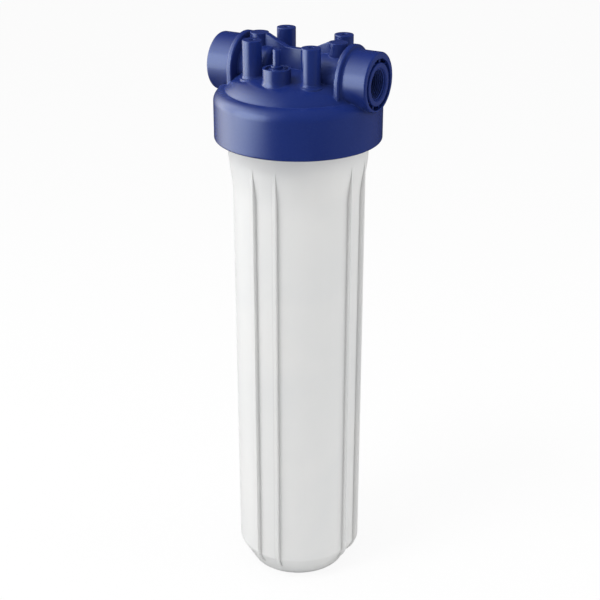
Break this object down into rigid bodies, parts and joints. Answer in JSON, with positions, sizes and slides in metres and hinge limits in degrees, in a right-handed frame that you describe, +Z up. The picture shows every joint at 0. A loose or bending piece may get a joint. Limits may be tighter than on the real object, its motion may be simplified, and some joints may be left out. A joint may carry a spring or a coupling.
{
  "type": "cartridge filter housing",
  "caption": "Tall cartridge filter housing: blue head with side ports, posts and a push vent on a white finned screw-on sump holding a pleated cartridge.",
  "frame": {"origin": "centre of the sump's foot ring, on the surface it stands on", "axes": "+Z up along the housing's axis, +X along the ports towards the outlet, -Y towards the vent"},
  "size_m": [0.195, 0.1848, 0.645],
  "materials": {
    "head_plastic": "satin moulded",
    "sump_plastic": "satin moulded",
    "seal_rubber": "matt",
    "spring_steel": "bright drawn",
    "media": "spunbond",
    "core_plastic": "satin",
    "cap_plastic": "soft cast"
  },
  "bodies": {
    "head": {"head": "head_plastic", "inlet_insert": "head_plastic", "outlet_insert": "head_plastic", "port_seals": "seal_rubber", "vent_bushing": "head_plastic", "vent_spring": "spring_steel"},
    "vent_stem": {"vent_stem": "head_plastic", "vent_seal": "seal_rubber", "vent_clip": "spring_steel"},
    "cartridge": {"pleat_pack": "media", "pleat_bands": "media", "core_tube": "core_plastic", "upper_cap": "cap_plastic", "lower_cap": "cap_plastic", "upper_gasket": "seal_rubber", "lower_gasket": "seal_rubber"},
    "sump": {"sump": "sump_plastic", "sump_seal": "seal_rubber"}
  },
  "joints": [
    {"name": "vent_press", "type": "slide", "parent": "head", "child": "vent_stem", "axis": [0, 0, -1], "range_m": [0, 0.003], "stiffness_N_per_m": 800, "springref_m": -0.004, "deforming": ["vent_spring"]},
    {"name": "sump_travel", "type": "slide", "parent": "head", "child": "cartridge", "axis": [0, 0, 1], "range_m": [-0.045, 0]},
    {"name": "sump_turn", "type": "hinge", "parent": "cartridge", "child": "sump", "pos_m": [0, 0, 0], "axis": [0, 0, 1], "range_deg": [-1800, 0]}
  ],
  "couplings": [
    {"joint": "sump_travel", "follows": "sump_turn", "m_per_rad": 0.0014324}
  ]
}
